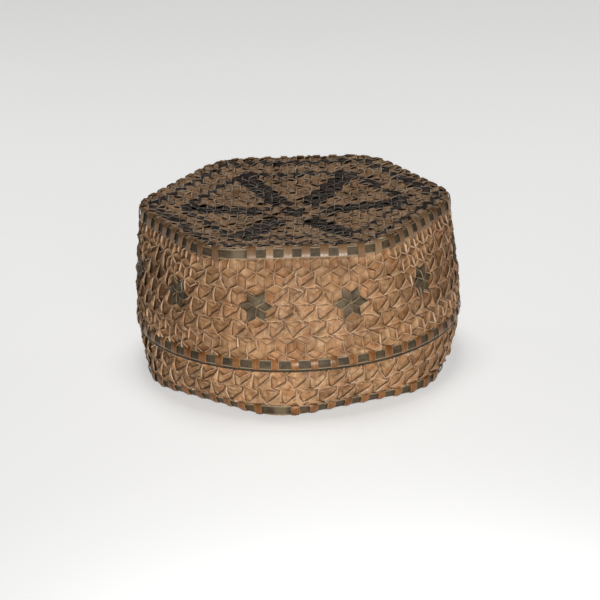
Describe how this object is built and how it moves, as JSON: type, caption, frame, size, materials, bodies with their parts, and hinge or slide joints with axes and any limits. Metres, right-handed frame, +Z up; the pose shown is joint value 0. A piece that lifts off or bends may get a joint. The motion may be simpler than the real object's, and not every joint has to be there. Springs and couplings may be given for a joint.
{
  "type": "lidded woven basket",
  "caption": "Six-sided plaited leaf-strip basket with a deep lift-off lid, dark bound edges, and dark star, ring and spoke patterns.",
  "frame": {"origin": "centre of the base's underside, on the box's axis", "axes": "+Z up along the box's axis, -Y towards the middle of one flat of the lid's top, +X to the right of it"},
  "size_m": [0.1704, 0.1704, 0.0871],
  "materials": {
    "tan_leaf": "plaited dried leaf strip, semi-matt tan",
    "lining_leaf": "plaited dried leaf strip, plain",
    "dark_leaf": "dyed dark leaf strip, semi-matt",
    "wrap_leaf": "folded dried leaf strip, smooth"
  },
  "bodies": {
    "base": {"base_floor": "tan_leaf", "base_floor_lining": "lining_leaf", "base_wall": "tan_leaf", "base_wall_lining": "lining_leaf", "base_edge_strip": "dark_leaf", "base_edge_wraps": "wrap_leaf", "base_rim_strip": "dark_leaf", "base_rim_wraps": "wrap_leaf"},
    "lid": {"lid_top": "tan_leaf", "lid_top_lining": "lining_leaf", "lid_wall": "tan_leaf", "lid_wall_lining": "lining_leaf", "lid_top_edge_strip": "dark_leaf", "lid_top_edge_wraps": "wrap_leaf", "lid_rim_strip": "dark_leaf", "lid_rim_wraps": "wrap_leaf", "lid_wall_stars": "dark_leaf", "lid_top_outer_ring": "dark_leaf", "lid_top_inner_ring": "dark_leaf", "lid_top_spokes": "dark_leaf", "lid_top_star": "dark_leaf"}
  },
  "joints": [
    {"name": "lid_lift", "type": "slide", "parent": "base", "child": "lid", "axis": [0, 0, 1], "range_m": [0, 0.06]}
  ]
}
